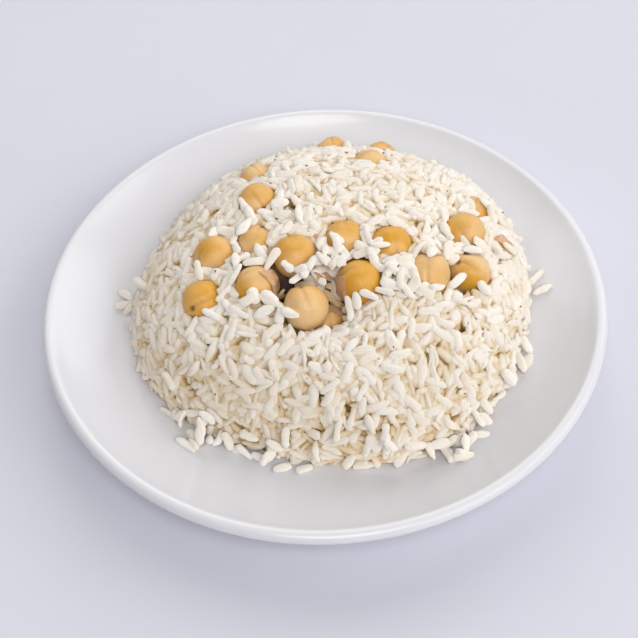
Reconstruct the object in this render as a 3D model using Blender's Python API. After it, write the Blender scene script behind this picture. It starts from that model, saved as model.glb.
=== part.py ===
# Cooked rice with chickpeas, turned out of a bowl onto a small white porcelain plate.
# All sizes below are in millimetres, and each mesh is scaled to metres when it is made.
# The origin lies on the table under the centre of the plate. +Z is up, and -Y faces the diner.

import math

import bmesh
import bpy
import numpy as np
from mathutils import Matrix, Vector
from mathutils.geometry import delaunay_2d_cdt

MM = 0.001
GAP = 0.3

# The plate: a shallow coupe with a foot ring and a rounded lip
PLATE_SIDES = 60
PLATE_RADIUS = 95.0
FLOOR_RADIUS = 50.0
FLOOR_HEIGHT = 5.5
FLOOR_THICKNESS = 3.0
WALL_RISE = 14.8
WALL_CURVE = 2.2
FOOT_INNER = 50.6
FOOT_OUTER = 55.4
FOOT_SLOPE = 1.3
UNDER_RISE = 15.8
UNDER_CURVE = 1.7
LIP_ROUND = 2.4
LIP_HEIGHT = 21.0

# The heap of rice: a dome that leans a little out of round
HEAP_X = 3.4
HEAP_Y = 5.9
HEAP_RADIUS = 68.4
HEAP_HEIGHT = 43.9
HEAP_SHAPE = 2.2
HEAP_SWELLS = ((0.31, -1.07), (1.03, 0.42), (-1.10, -0.28), (-0.29, 1.29))
HEAP_SIDES = 72
# Hollows between the chickpeas, each as x, y, radius and depth
HOLLOWS = ((0.5, -20.0, 7.5, 11.0), (-12.5, -11.0, 5.0, 7.0))

# Rice grains
GRAIN_LENGTH = 7.6
GRAIN_WIDTH = 2.7
GRAIN_SIDES = 5
BUMP_COUNT = 700
BUMP_REACH = 2.5
RIDGE_DEPTH = 0.3
VALLEY_DEPTH = 2.4
GRAIN_COUNT = 46
GRAIN_DEPTH = 0.4
# Grains at the foot that lie out on the plate, each as x, y, heading and tilt in degrees
FOOT_GRAINS = (
    (-69.5, 9.5, 200.0, 0.0),
    (-67.6, 4.2, 160.0, 6.0),
    (-69.2, 14.0, 145.0, 8.0),
    (75.6, 4.8, 10.0, 12.0),
    (74.4, 10.6, 38.0, 12.0),
    (67.0, -21.0, 325.0, 6.0),
    (63.8, -27.8, 300.0, 8.0),
    (-46.6, -50.4, 318.0, 0.0),
    (-44.4, -47.6, 292.0, 2.0),
    (-55.4, -36.4, 225.0, 4.0),
    (-19.2, -57.4, 236.0, 2.0),
    (-14.4, -56.6, 262.0, 2.0),
    (-5.4, -59.6, 280.0, 2.0),
    (1.8, -58.2, 252.0, 4.0),
    (16.6, -57.6, 268.0, 4.0),
    (40.6, -56.4, 318.0, 4.0),
    (46.8, -49.4, 330.0, 4.0),
    (58.2, -35.0, 338.0, 4.0),
)

# The chickpeas: centre x, y, z, radius, then where the beak points (heading and tilt) and the roll about it
CHICKPEAS = (
    (5.8, 58.5, 30.2, 6.0, 100, 10, 0),
    (22.8, 56.2, 29.3, 5.7, 70, 0, 30),
    (18.7, 45.3, 35.4, 6.2, 200, -5, 20),
    (-20.8, 41.1, 35.1, 6.0, 120, 10, 0),
    (-20.5, 24.0, 41.9, 6.4, 300, -10, 15),
    (-35.2, 2.2, 39.9, 6.7, 236, -35, 20),
    (-38.9, -13.7, 36.7, 6.5, 215, -5, -40),
    (-21.3, 5.2, 41.6, 6.1, 70, 5, 10),
    (-21.3, -12.7, 41.1, 6.8, 190, -15, 10),
    (-8.5, -4.0, 45.0, 6.8, 130, -20, 10),
    (-6.0, -23.5, 42.4, 7.0, 110, 25, 0),
    (7.7, 2.3, 44.7, 6.4, 95, -25, 10),
    (22.6, -0.2, 43.4, 6.4, 275, -35, -10),
    (11.5, -15.1, 43.0, 7.0, 182, -15, 5),
    (34.0, -11.0, 40.8, 6.8, 275, -40, 10),
    (47.6, 9.4, 37.4, 6.7, 320, -30, 40),
    (52.9, 23.9, 31.3, 5.8, 60, 0, 0),
    (58.6, 7.9, 27.6, 5.7, 60, 10, 30),
    (48.0, -6.6, 35.2, 6.6, 160, 20, -20),
    (1.0, -21.8, 31.0, 6.0, 280, -25, 0),
)

PORCELAIN_COLOUR = (0.85, 0.86, 0.88, 1.0)
RICE_COLOUR = (0.83, 0.78, 0.69, 1.0)
CHICKPEA_COLOUR = (0.74, 0.46, 0.18, 1.0)


def clear_scene():
    for obj in list(bpy.data.objects):
        bpy.data.objects.remove(obj, do_unlink=True)


def make_material(name, colour, roughness):
    material = bpy.data.materials.new(name)
    material.use_nodes = True
    shader = material.node_tree.nodes["Principled BSDF"]
    shader.inputs["Base Color"].default_value = colour
    shader.inputs["Roughness"].default_value = roughness
    return material


def make_object(name, points, faces, collection=None):
    """An object from points in millimetres and faces as lists of indices."""
    mesh = bpy.data.meshes.new(name)
    mesh.from_pydata([Vector(p) * MM for p in points], [], faces)
    mesh.validate()
    obj = bpy.data.objects.new(name, mesh)
    (collection or bpy.context.scene.collection).objects.link(obj)
    face_outward(obj)
    return obj


def face_outward(obj):
    grown = bmesh.new()
    grown.from_mesh(obj.data)
    bmesh.ops.recalc_face_normals(grown, faces=grown.faces)
    if grown.calc_volume(signed=True) < 0:
        bmesh.ops.reverse_faces(grown, faces=grown.faces)
    grown.to_mesh(obj.data)
    grown.free()


def shade_smooth(obj):
    for polygon in obj.data.polygons:
        polygon.use_smooth = True


def inner_height(radius):
    """Height of the plate's upper face at a distance from its centre."""
    out = max(radius - FLOOR_RADIUS, 0.0) / (PLATE_RADIUS - 1.6 * LIP_ROUND - FLOOR_RADIUS)
    return FLOOR_HEIGHT + WALL_RISE * out**WALL_CURVE


def plate_profile():
    """The plate's section from the middle of its underside, round the lip, to the middle of its floor."""
    under = FLOOR_HEIGHT - FLOOR_THICKNESS
    foot_in = FOOT_INNER - FOOT_SLOPE
    foot_out = FOOT_OUTER + FOOT_SLOPE
    profile = [(foot_in, under), (FOOT_INNER, 0.0), (FOOT_OUTER, 0.0), (foot_out, under - 0.2)]
    for radius in (66.0, 77.0, 88.0):
        out = (radius - foot_out) / (PLATE_RADIUS - foot_out)
        profile.append((radius, under - 0.3 + UNDER_RISE * out**UNDER_CURVE))
    for turn in (-22, 5, 35, 65, 95, 128):
        angle = math.radians(turn)
        radius = PLATE_RADIUS - LIP_ROUND + LIP_ROUND * math.cos(angle)
        height = LIP_HEIGHT - LIP_ROUND + LIP_ROUND * math.sin(angle)
        profile.append((radius, height))
    for radius in (86.0, 79.0, 71.0, 61.0, FLOOR_RADIUS):
        profile.append((radius, inner_height(radius)))
    return profile


def lathe(profile, sides, bottom, top):
    """Points and faces of a round solid: a section swept about Z, with a middle point below and above."""
    points = [(0.0, 0.0, bottom)]
    faces = []
    for radius, height in profile:
        for side in range(sides):
            angle = math.tau * side / sides
            points.append((radius * math.cos(angle), radius * math.sin(angle), height))
    points.append((0.0, 0.0, top))
    last = len(points) - 1
    for side in range(sides):
        after = (side + 1) % sides
        faces.append((0, 1 + after, 1 + side))
        ring = last - sides
        faces.append((last, ring + side, ring + after))
        for row in range(len(profile) - 1):
            near = 1 + row * sides
            far = near + sides
            faces.append((near + side, near + after, far + after))
            faces.append((near + side, far + after, far + side))
    return points, faces


def heap_radius(angle):
    radius = HEAP_RADIUS
    for order, (even, odd) in enumerate(HEAP_SWELLS, start=1):
        radius += even * math.cos(order * angle) + odd * math.sin(order * angle)
    return radius


def heap_point(angle, out, depth):
    """A point of the heap: out runs from 0 at the crown to 1 at the foot, and depth is how far inside it lies."""
    rise = (1.0 - out) * math.pi / 2
    level = math.sin(rise) ** (2 / HEAP_SHAPE) if rise > 0 else 0.0
    reach = (heap_radius(angle) - depth) * max(math.cos(rise), 0.0) ** (2 / HEAP_SHAPE)
    x = HEAP_X + reach * math.cos(angle)
    y = HEAP_Y + reach * math.sin(angle)
    foot = inner_height(math.hypot(x, y)) + GAP
    crown = FLOOR_HEIGHT + HEAP_HEIGHT - depth
    z = foot + (crown - foot) * level
    for hollow_x, hollow_y, radius, fall in HOLLOWS:
        near = ((x - hollow_x) ** 2 + (y - hollow_y) ** 2) / radius**2
        z -= fall * math.exp(-0.5 * near)
    return Vector((x, y, z))


def heap_frame(angle, out, depth):
    """The point and the two unit directions along the surface there, round the heap and down it."""
    step = 0.004
    here = heap_point(angle, out, depth)
    down = heap_point(angle, min(out + step, 1.0), depth) - heap_point(angle, out - step, depth)
    round_it = heap_point(angle + step, out, depth) - heap_point(angle - step, out, depth)
    down.normalize()
    round_it = (round_it - down * round_it.dot(down)).normalized()
    return here, round_it, down


def spread(count, first, last, turn):
    """Places (angle, out) evenly over the heap between two values of out, in one long spiral."""
    steps = 400
    areas = [0.0]
    outs = [first + (last - first) * i / steps for i in range(steps + 1)]
    for i in range(steps):
        middle = (outs[i] + outs[i + 1]) / 2
        strip = heap_point(0, outs[i + 1], 0) - heap_point(0, outs[i], 0)
        reach = heap_point(0, middle, 0).x - HEAP_X
        areas.append(areas[-1] + strip.length * max(reach, 0.1))
    golden = math.pi * (3 - math.sqrt(5))
    places = []
    for i in range(count):
        out = float(np.interp((i + 0.5) / count * areas[-1], areas, outs))
        places.append((turn + i * golden, out))
    return places


def shift(angle, out, heading, length):
    """The place at a length from another one along the surface, at a heading turned from round-the-heap."""
    reach = max((heap_point(angle, out, 0) - Vector((HEAP_X, HEAP_Y, 0))).xy.length, 4.0)
    along = (heap_point(angle, min(out + 0.01, 1.0), 0) - heap_point(angle, out - 0.01, 0)).length / 0.02
    return angle + length * math.cos(heading) / reach, out + length * math.sin(heading) / along


def flat(angle, out):
    return Vector((out * math.cos(angle), out * math.sin(angle)))


def bumpy_core(rng):
    """The heap's body: its upper face has ridges of the size of rice grains, and its lower face follows the plate."""
    places = []
    ridges = []
    crests = []
    for angle, out in spread(BUMP_COUNT, 0.012, 0.955, 0.4):
        heading = rng.uniform(0, math.pi)
        ends = []
        for way in (-1, 1):
            end_angle, end_out = shift(angle, out, heading, way * BUMP_REACH)
            if end_out > 0.965:
                continue
            ends.append((end_angle, end_out))
            depth = RIDGE_DEPTH + rng.uniform(-0.4, 0.4)
            places.append((end_angle, end_out, depth))
        if len(ends) == 2:
            ridges.append([heap_point(a, o, 0) for a, o in ends])
            crests.append((len(places) - 2, len(places) - 1))
    starts = np.array([tuple(r[0]) for r in ridges])
    lengths = np.array([tuple(r[1]) for r in ridges]) - starts
    for angle, out in spread(int(BUMP_COUNT * 1.9), 0.012, 0.965, 1.7):
        point = np.array(heap_point(angle, out, 0))
        share = ((point - starts) * lengths).sum(axis=1) / (lengths**2).sum(axis=1)
        nearest = starts + lengths * np.clip(share, 0, 1)[:, None]
        if np.linalg.norm(nearest - point, axis=1).min() > 1.35:
            places.append((angle, out, VALLEY_DEPTH + rng.uniform(-0.4, 0.4)))
    edge = len(places)
    for side in range(HEAP_SIDES):
        depth = VALLEY_DEPTH if side % 2 else RIDGE_DEPTH
        places.append((math.tau * side / HEAP_SIDES, 1.0, depth))
    loop = [(edge + side, edge + (side + 1) % HEAP_SIDES) for side in range(HEAP_SIDES)]
    coordinates = [flat(angle, out) for angle, out, _ in places]
    found = delaunay_2d_cdt(coordinates, loop + crests, [], 1, 1e-6)
    points = []
    new_index = {}
    for i, sources in enumerate(found[3]):
        if sources:
            new_index[sources[0]] = i
            points.append(heap_point(*places[sources[0]]))
        else:
            crossing = found[0][i]
            points.append(heap_point(math.atan2(crossing.y, crossing.x), crossing.length, RIDGE_DEPTH))
    faces = [tuple(face) for face in found[2]]
    ring = [new_index[edge + side] for side in range(HEAP_SIDES)]
    for share in (0.88, 0.72):
        inner = []
        for old in ring:
            x = HEAP_X + (points[old].x - HEAP_X) * share
            y = HEAP_Y + (points[old].y - HEAP_Y) * share
            inner.append(len(points))
            points.append(Vector((x, y, inner_height(math.hypot(x, y)) + GAP)))
        for side in range(HEAP_SIDES):
            after = (side + 1) % HEAP_SIDES
            faces.append((ring[side], ring[after], inner[after]))
            faces.append((ring[side], inner[after], inner[side]))
        ring = inner
    middle = len(points)
    points.append(Vector((HEAP_X, HEAP_Y, FLOOR_HEIGHT + GAP)))
    for side in range(HEAP_SIDES):
        faces.append((ring[side], ring[(side + 1) % HEAP_SIDES], middle))
    return make_object("rice_heap", points, faces)


def grain_points(centre, along, length, width):
    """A grain as two tips and two rings of points."""
    across = along.cross(Vector((0.31, 0.17, 0.93))).normalized()
    upward = along.cross(across)
    points = [centre - along * length / 2]
    for place in (-0.24, 0.24):
        for side in range(GRAIN_SIDES):
            angle = math.tau * side / GRAIN_SIDES
            out = across * math.cos(angle) + upward * math.sin(angle)
            points.append(centre + along * place * length + out * width / 2)
    points.append(centre + along * length / 2)
    return points


def grain_faces():
    faces = []
    for side in range(GRAIN_SIDES):
        after = (side + 1) % GRAIN_SIDES
        near = 1 + side
        near_after = 1 + after
        far = near + GRAIN_SIDES
        far_after = near_after + GRAIN_SIDES
        faces.append((0, near_after, near))
        faces.append((near, near_after, far_after))
        faces.append((near, far_after, far))
        faces.append((far, far_after, 2 * GRAIN_SIDES + 1))
    return faces


def clear_of_dish(points):
    return all(p.z > inner_height(p.xy.length) + GAP and p.xy.length < 88 for p in points)


def clear_of_chickpeas(points):
    for x, y, z, radius, *_ in CHICKPEAS:
        centre = Vector((x, y, z))
        for i in range(9):
            share = i / 8
            if (points[0].lerp(points[-1], share) - centre).length < radius * 1.04 + 0.55 * GRAIN_WIDTH + GAP:
                return False
    return True


def loose_grains(rng, collection):
    """Grains that show one by one: some on the heap, and some at its foot that lie out on the plate."""
    found = []
    for angle, out in spread(GRAIN_COUNT, 0.02, 0.985, 2.9):
        here, round_it, down = heap_frame(angle, min(out, 0.98), GRAIN_DEPTH)
        heading = rng.uniform(0, math.pi)
        along = round_it * math.cos(heading) + down * math.sin(heading)
        outward = round_it.cross(down)
        if outward.z < 0:
            outward = -outward
        along = (along + outward * rng.uniform(-0.12, 0.22)).normalized()
        length = GRAIN_LENGTH * rng.uniform(0.85, 1.15)
        found.append((here, along, length))
    for x, y, heading, tilt in FOOT_GRAINS:
        angle = math.radians(heading)
        tip = math.radians(tilt)
        along = Vector((math.cos(angle) * math.cos(tip), math.sin(angle) * math.cos(tip), math.sin(tip)))
        height = inner_height(math.hypot(x, y)) + 0.62 * GRAIN_WIDTH
        found.append((Vector((x, y, height)), along, GRAIN_LENGTH))
    faces = grain_faces()
    for centre, along, length in found:
        for _ in range(6):
            points = grain_points(centre, along, length, GRAIN_WIDTH)
            if clear_of_dish(points):
                break
            centre = centre + Vector((0, 0, 0.5))
        else:
            continue
        if clear_of_chickpeas(points):
            make_object("grain", points, faces, collection)


def chickpea_turn(heading, tilt, roll):
    """Turns a chickpea so that its beak, along its own X, points at the heading and tilt given."""
    aim = Matrix.Rotation(math.radians(heading), 3, "Z") @ Matrix.Rotation(math.radians(-tilt), 3, "Y")
    return aim @ Matrix.Rotation(math.radians(roll), 3, "X")


def chickpea_reach(way, grooved):
    """Distance from the middle to the skin in one direction, for a chickpea of radius 1."""
    reach = 1 / math.sqrt((way.x / 1.03) ** 2 + way.y**2 + (way.z / 0.97) ** 2)
    reach += 0.13 * math.exp((way.x - 1) / 0.05)
    if grooved and way.z > 0:
        front = min(max((way.x + 0.35) / 0.7, 0), 1)
        reach -= 0.07 * front * math.exp(-((way.y / 0.16) ** 2)) * (1 - 0.6 * max(way.x - 0.8, 0) / 0.2)
    return reach


def chickpea_mesh(name, chickpea, rings, sides, margin, collection=None):
    x, y, z, radius, heading, tilt, roll = chickpea
    turn = chickpea_turn(heading, tilt, roll)
    points = []
    for row in range(rings + 1):
        fall = math.pi * row / rings
        count = sides if 0 < row < rings else 1
        for side in range(count):
            angle = math.tau * (side + 0.25 * sides) / sides
            way = Vector((math.cos(fall), math.sin(fall) * math.cos(angle), math.sin(fall) * math.sin(angle)))
            reach = radius * chickpea_reach(way, margin == 0) + margin
            points.append(Vector((x, y, z)) + turn @ way * reach)
    faces = []
    last = len(points) - 1
    for side in range(sides):
        after = (side + 1) % sides
        faces.append((0, 1 + side, 1 + after))
        ring = last - sides
        faces.append((last, ring + after, ring + side))
        for row in range(rings - 2):
            near = 1 + row * sides
            far = near + sides
            faces.append((near + side, far + after, near + after))
            faces.append((near + side, far + side, far + after))
    return make_object(name, points, faces, collection)


def combine(obj, collection, operation):
    """Joins or cuts the objects of a collection into an object, then removes them."""
    modifier = obj.modifiers.new(operation.lower(), "BOOLEAN")
    modifier.operation = operation
    modifier.operand_type = "COLLECTION"
    modifier.collection = collection
    modifier.solver = "MANIFOLD"
    bpy.context.view_layer.update()
    graph = bpy.context.evaluated_depsgraph_get()
    mesh = bpy.data.meshes.new_from_object(obj.evaluated_get(graph))
    obj.modifiers.clear()
    obj.data = mesh
    for used in list(collection.objects):
        bpy.data.objects.remove(used, do_unlink=True)
    bpy.data.collections.remove(collection)


def keep_largest(obj):
    """Drops loose scraps and the walls of sealed hollows, so that one closed body is left."""
    mesh = bmesh.new()
    mesh.from_mesh(obj.data)
    bmesh.ops.triangulate(mesh, faces=mesh.faces)
    mesh.verts.ensure_lookup_table()
    seen = set()
    groups = []
    for start in mesh.verts:
        if start.index in seen:
            continue
        group = [start]
        seen.add(start.index)
        for vert in group:
            for edge in vert.link_edges:
                other = edge.other_vert(vert)
                if other.index not in seen:
                    seen.add(other.index)
                    group.append(other)
        groups.append(group)
    groups.sort(key=len)
    for group in groups[:-1]:
        bmesh.ops.delete(mesh, geom=group, context="VERTS")
    mesh.to_mesh(obj.data)
    mesh.free()


def new_collection(name):
    collection = bpy.data.collections.new(name)
    bpy.context.scene.collection.children.link(collection)
    return collection


def build():
    clear_scene()
    porcelain = make_material("porcelain", PORCELAIN_COLOUR, 0.15)
    rice = make_material("rice", RICE_COLOUR, 0.45)
    chickpea_skin = make_material("chickpea", CHICKPEA_COLOUR, 0.4)

    under = FLOOR_HEIGHT - FLOOR_THICKNESS
    plate = make_object("plate", *lathe(plate_profile(), PLATE_SIDES, under, FLOOR_HEIGHT))
    plate.data.materials.append(porcelain)
    shade_smooth(plate)

    rng = np.random.default_rng(11)
    heap = bumpy_core(rng)
    grains = new_collection("grains")
    loose_grains(rng, grains)
    combine(heap, grains, "UNION")
    sockets = new_collection("sockets")
    for chickpea in CHICKPEAS:
        chickpea_mesh("socket", chickpea, 6, 9, 2 * GAP, sockets)
    combine(heap, sockets, "DIFFERENCE")
    keep_largest(heap)
    heap.data.materials.clear()
    heap.data.materials.append(rice)

    for number, chickpea in enumerate(CHICKPEAS, start=1):
        obj = chickpea_mesh(f"chickpea_{number:02d}", chickpea, 7, 10, 0)
        obj.data.materials.append(chickpea_skin)
        shade_smooth(obj)


build()
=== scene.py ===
import math

import bpy
import numpy as np
from mathutils import Matrix, Quaternion, Vector


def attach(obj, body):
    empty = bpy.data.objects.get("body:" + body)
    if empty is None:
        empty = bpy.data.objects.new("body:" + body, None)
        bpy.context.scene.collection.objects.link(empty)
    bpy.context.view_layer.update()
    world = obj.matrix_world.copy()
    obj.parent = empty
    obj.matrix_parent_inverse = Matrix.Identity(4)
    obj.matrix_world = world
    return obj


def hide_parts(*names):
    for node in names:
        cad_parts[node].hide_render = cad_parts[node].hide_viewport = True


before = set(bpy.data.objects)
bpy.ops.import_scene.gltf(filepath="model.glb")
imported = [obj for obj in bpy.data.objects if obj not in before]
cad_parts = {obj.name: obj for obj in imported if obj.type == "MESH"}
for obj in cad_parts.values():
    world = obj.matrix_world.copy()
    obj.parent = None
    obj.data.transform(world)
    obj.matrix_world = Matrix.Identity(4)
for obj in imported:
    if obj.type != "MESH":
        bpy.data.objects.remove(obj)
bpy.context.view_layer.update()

# The view
# The plate stands on a table and is seen from the diner's side, from about half way up.
# The lens is a short telephoto one, as for a photograph of a dish.
MM = 0.001
VIEW_RISE = math.radians(50.135)
VIEW_ROLL = math.radians(-2.966)
VIEW_DISTANCE = 443.4 * MM
VIEW_AIM = Vector((-2.0, -10.0, 20.0)) * MM

lens = bpy.data.cameras.new("diner_view")
lens.lens = 75.0
lens.sensor_width = 36.0
lens.clip_start = 0.02
lens.clip_end = 20.0
diner_view = bpy.data.objects.new("diner_view", lens)
bpy.context.scene.collection.objects.link(diner_view)
towards_lens = Vector((0.0, -math.cos(VIEW_RISE), math.sin(VIEW_RISE)))
diner_view.location = VIEW_AIM + towards_lens * VIEW_DISTANCE
diner_view.rotation_mode = "QUATERNION"
level_view = (-towards_lens).to_track_quat("-Z", "Y")
diner_view.rotation_quaternion = level_view @ Quaternion((0.0, 0.0, 1.0), VIEW_ROLL)
bpy.context.scene.camera = diner_view
bpy.context.scene.view_settings.view_transform = "Standard"
bpy.context.scene.view_settings.look = "None"

# The table top and the light
# A plain pale table top, cool in colour. Wide soft lights stand round it: a strong one high over the
# diner, and low ones behind and at the right, so that shadows are faint and fall to the left front.
TABLE_COLOUR = (0.672, 0.672, 0.752, 1.0)
TABLE_HALF = 6.0
TABLE_GAP = 0.2
LIGHT_DISTANCE = 2.4
LIGHT_SIZE = 1.5
LIGHTS = (
    (274, 52, 33.0),
    (318, 34, 17.0),
    (0, 34, 11.5),
    (45, 28, 12.0),
    (90, 26, 10.5),
    (90, 52, 10.0),
    (135, 28, 11.0),
)
ROOM_LIGHT = 0.03


def new_finish(name):
    """A new material, with its nodes, its links and its Principled shader."""
    material = bpy.data.materials.new(name)
    material.use_nodes = True
    tree = material.node_tree
    return material, tree.nodes, tree.links, tree.nodes["Principled BSDF"]


def mottle_group():
    """Soft clouds in two sizes, as in a glaze, a skin or a grain: a mask from 0 to 1."""
    group = bpy.data.node_groups.new("mottle", "ShaderNodeTree")
    sockets = group.interface
    sockets.new_socket("Scale", in_out="INPUT", socket_type="NodeSocketFloat")
    sockets.new_socket("Fine Share", in_out="INPUT", socket_type="NodeSocketFloat")
    sockets.new_socket("Contrast", in_out="INPUT", socket_type="NodeSocketFloat")
    sockets.new_socket("Mask", in_out="OUTPUT", socket_type="NodeSocketFloat")
    nodes, links = group.nodes, group.links
    given = nodes.new("NodeGroupInput")
    result = nodes.new("NodeGroupOutput")
    place = nodes.new("ShaderNodeTexCoord")
    broad = nodes.new("ShaderNodeTexNoise")
    broad.inputs["Detail"].default_value = 3.0
    fine = nodes.new("ShaderNodeTexNoise")
    fine.inputs["Detail"].default_value = 5.0
    closer = nodes.new("ShaderNodeMath")
    closer.operation = "MULTIPLY"
    closer.inputs[1].default_value = 5.3
    both = nodes.new("ShaderNodeMix")
    spread = nodes.new("ShaderNodeMapRange")
    low = nodes.new("ShaderNodeMath")
    low.operation = "SUBTRACT"
    low.inputs[0].default_value = 0.5
    high = nodes.new("ShaderNodeMath")
    high.operation = "ADD"
    high.inputs[0].default_value = 0.5
    links.new(place.outputs["Object"], broad.inputs["Vector"])
    links.new(place.outputs["Object"], fine.inputs["Vector"])
    links.new(given.outputs["Scale"], broad.inputs["Scale"])
    links.new(given.outputs["Scale"], closer.inputs[0])
    links.new(closer.outputs[0], fine.inputs["Scale"])
    links.new(given.outputs["Fine Share"], both.inputs[0])
    links.new(broad.outputs["Fac"], both.inputs[2])
    links.new(fine.outputs["Fac"], both.inputs[3])
    links.new(both.outputs[0], spread.inputs["Value"])
    links.new(given.outputs["Contrast"], low.inputs[1])
    links.new(given.outputs["Contrast"], high.inputs[1])
    links.new(low.outputs[0], spread.inputs["From Min"])
    links.new(high.outputs[0], spread.inputs["From Max"])
    links.new(spread.outputs["Result"], result.inputs["Mask"])
    return group


MOTTLE = mottle_group()


def add_mottle(nodes, scale, fine_share, contrast):
    """The mask output of a mottle with its own size and strength."""
    placed = nodes.new("ShaderNodeGroup")
    placed.node_tree = MOTTLE
    placed.inputs["Scale"].default_value = scale
    placed.inputs["Fine Share"].default_value = fine_share
    placed.inputs["Contrast"].default_value = contrast
    return placed.outputs["Mask"]


def blend_colours(nodes, links, mask, first, second):
    """A colour output that goes from one colour to another with a mask. Each may be a colour or an output."""
    mix = nodes.new("ShaderNodeMix")
    mix.data_type = "RGBA"
    links.new(mask, mix.inputs[0])
    for socket, value in ((mix.inputs[6], first), (mix.inputs[7], second)):
        if isinstance(value, tuple):
            socket.default_value = value
        else:
            links.new(value, socket)
    return mix.outputs[2]


def remap(nodes, links, value, low, high, to_low, to_high):
    """A number output stretched from one range to another and held there."""
    node = nodes.new("ShaderNodeMapRange")
    node.inputs["From Min"].default_value = low
    node.inputs["From Max"].default_value = high
    node.inputs["To Min"].default_value = to_low
    node.inputs["To Max"].default_value = to_high
    links.new(value, node.inputs["Value"])
    return node.outputs["Result"]


def add_bump(nodes, links, shader, height, distance, strength):
    """Relief of the skin or glaze, in metres of height."""
    bump = nodes.new("ShaderNodeBump")
    bump.inputs["Distance"].default_value = distance
    bump.inputs["Strength"].default_value = strength
    links.new(height, bump.inputs["Height"])
    links.new(bump.outputs["Normal"], shader.inputs["Normal"])


table_top, nodes, links, shader = new_finish("table_top")
clouds = add_mottle(nodes, 9.0, 0.3, 0.25)
tint = blend_colours(nodes, links, clouds, TABLE_COLOUR, tuple(0.965 * c for c in TABLE_COLOUR[:3]) + (1.0,))
links.new(tint, shader.inputs["Base Color"])
shader.inputs["Roughness"].default_value = 0.55
shader.inputs["Specular IOR Level"].default_value = 0.25

surface = bpy.data.meshes.new("table")
corners = [(TABLE_HALF * x, TABLE_HALF * y, 0) for x, y in ((-1, -1), (1, -1), (1, 1), (-1, 1))]
surface.from_pydata(corners, [], [(0, 1, 2, 3)])
surface.materials.append(table_top)
table = bpy.data.objects.new("table", surface)
table.location.z = -TABLE_GAP * MM
bpy.context.scene.collection.objects.link(table)

room = bpy.data.worlds.new("room")
room.use_nodes = True
room.node_tree.nodes["Background"].inputs["Color"].default_value = (1.0, 1.0, 1.0, 1.0)
room.node_tree.nodes["Background"].inputs["Strength"].default_value = ROOM_LIGHT
bpy.context.scene.world = room
for number, (bearing, rise, power) in enumerate(LIGHTS, start=1):
    lamp = bpy.data.lights.new(f"soft_light_{number}", "AREA")
    lamp.shape = "DISK"
    lamp.size = LIGHT_SIZE
    lamp.energy = power
    turn, tip = math.radians(bearing), math.radians(rise)
    way = Vector((math.cos(turn) * math.cos(tip), math.sin(turn) * math.cos(tip), math.sin(tip)))
    light = bpy.data.objects.new(lamp.name, lamp)
    light.location = way * LIGHT_DISTANCE
    light.rotation_mode = "QUATERNION"
    light.rotation_quaternion = (-way).to_track_quat("-Z", "Y")
    bpy.context.scene.collection.objects.link(light)

# The plate
# A small dessert plate of white hard porcelain, pressed as a shallow coupe with a rounded lip,
# glazed all over except for the edge of its foot ring, which it stood on in the kiln.
PLATE_RADIUS = 95.0
LIP_ROUND = 2.4
LIP_HEIGHT = 21.0
FLOOR_RADIUS = 50.0
FLOOR_HEIGHT = 5.5
FLOOR_THICKNESS = 3.0
WALL_RISE = 14.8
WALL_CURVE = 2.2
FOOT_INNER = 50.6
FOOT_OUTER = 55.4
FOOT_SLOPE = 1.3
UNDER_RISE = 15.8
UNDER_CURVE = 1.7
WHEEL_SIDES = 160
GLAZE = (0.755, 0.75, 0.78, 1.0)
BARE_FOOT = (0.62, 0.58, 0.52, 1.0)


def plate_height(radius):
    """Height of the plate's upper face at a distance, or at many distances, from its centre."""
    out = np.maximum(np.asarray(radius, float) - FLOOR_RADIUS, 0.0)
    return FLOOR_HEIGHT + WALL_RISE * (out / (PLATE_RADIUS - 1.6 * LIP_ROUND - FLOOR_RADIUS)) ** WALL_CURVE


def plate_section():
    """The section of the plate, from the middle of its underside round the lip to the middle of its floor."""
    under = FLOOR_HEIGHT - FLOOR_THICKNESS
    foot_in = FOOT_INNER - FOOT_SLOPE
    foot_out = FOOT_OUTER + FOOT_SLOPE
    section = [(radius, under) for radius in np.linspace(4.0, foot_in - 1.2, 10)]
    for share in np.linspace(0.0, 1.0, 9):
        turn = share * math.pi
        middle = (FOOT_INNER + FOOT_OUTER) / 2
        reach = (FOOT_OUTER - FOOT_INNER) / 2
        flare = FOOT_SLOPE * (1 - math.sin(turn)) ** 1.5
        radius = middle - math.copysign(abs(math.cos(turn)) ** 0.45, math.cos(turn)) * (reach + flare)
        section.append((radius, under * (1 - math.sin(turn) ** 0.45)))
    for radius in np.linspace(foot_out + 1.4, PLATE_RADIUS - 1.2, 26):
        out = (radius - foot_out) / (PLATE_RADIUS - foot_out)
        drop = 0.3 * min(1, (radius - foot_out) / 3)
        section.append((radius, under - drop + UNDER_RISE * out**UNDER_CURVE))
    for turn in np.linspace(math.radians(-22), math.radians(128), 14):
        section.append((PLATE_RADIUS - LIP_ROUND + LIP_ROUND * math.cos(turn),
                        LIP_HEIGHT - LIP_ROUND + LIP_ROUND * math.sin(turn)))
    for radius in np.linspace(PLATE_RADIUS - 5.2, 3.0, 52):
        section.append((radius, float(plate_height(radius))))
    return section


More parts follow.
